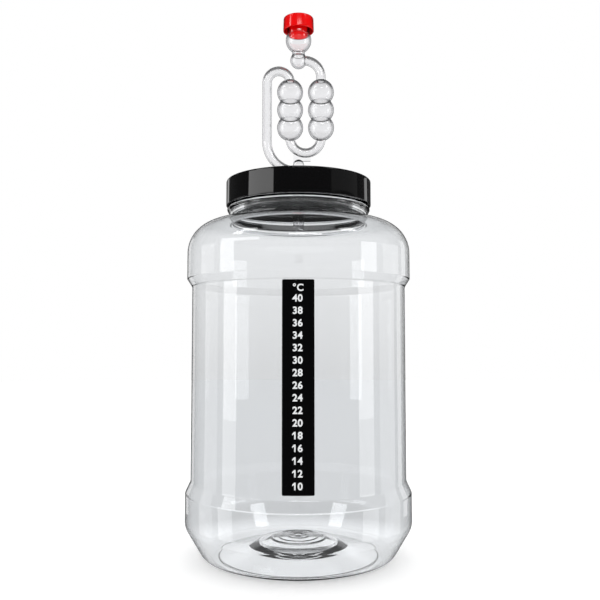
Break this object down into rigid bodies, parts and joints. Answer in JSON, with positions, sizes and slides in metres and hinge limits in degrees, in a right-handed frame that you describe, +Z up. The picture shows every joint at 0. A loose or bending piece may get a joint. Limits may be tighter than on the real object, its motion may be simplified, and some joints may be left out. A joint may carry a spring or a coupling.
{
  "type": "fermentation jar with airlock",
  "caption": "Clear wide-mouth jar with two belly rings and a waist, black screw lid, clear S-shaped bubble airlock with red vented cap, and a black thermometer strip on the front.",
  "frame": {"origin": "centre of the ring that the jar stands on, at floor level", "axes": "+Z up along the jar's axis; -Y towards the front, which the thermometer strip and the flat side of the airlock face; +X to the right of someone who reads the strip"},
  "size_m": [0.1672, 0.1672, 0.4085],
  "materials": {
    "clear_pet": "clear blow-moulded PET, high gloss",
    "clear_styrene": "clear injection-moulded styrene, high gloss",
    "lid_black": "black moulded polypropylene, gloss",
    "cap_red": "red moulded polyethylene, satin gloss",
    "strip_film": "black printed film under clear polyester",
    "grommet_rubber": "black moulded rubber, matt",
    "white_silicone": "white silicone, matt"
  },
  "bodies": {
    "jar": {"jar_body": "clear_pet", "thermometer_strip": "strip_film"},
    "seal": {"lid_seal": "white_silicone"},
    "grommet": {"lid_grommet": "grommet_rubber"},
    "lid": {"lid_shell": "lid_black"},
    "airlock": {"airlock_front_shell": "clear_styrene", "airlock_rear_shell": "clear_styrene"},
    "cap": {"airlock_cap": "cap_red"}
  },
  "joints": [
    {"name": "lid_lift_off", "type": "slide", "parent": "jar", "child": "seal", "axis": [0, 0, 1], "range_m": [0, 0.08]},
    {"name": "lid_thread_rise", "type": "slide", "parent": "seal", "child": "grommet", "axis": [0, 0, 1], "range_m": [0, 0.00636]},
    {"name": "lid_turn", "type": "hinge", "parent": "grommet", "child": "lid", "pos_m": [0, 0, 0.27], "axis": [0, 0, 1], "range_deg": [0, 450]},
    {"name": "airlock_pull", "type": "slide", "parent": "grommet", "child": "airlock", "axis": [0, 0, 1], "range_m": [0, 0.045]},
    {"name": "cap_pull", "type": "slide", "parent": "airlock", "child": "cap", "axis": [0, 0, 1], "range_m": [0, 0.025]}
  ],
  "couplings": [
    {"joint": "lid_thread_rise", "follows": "lid_turn", "m_per_rad": 0.00080851}
  ]
}
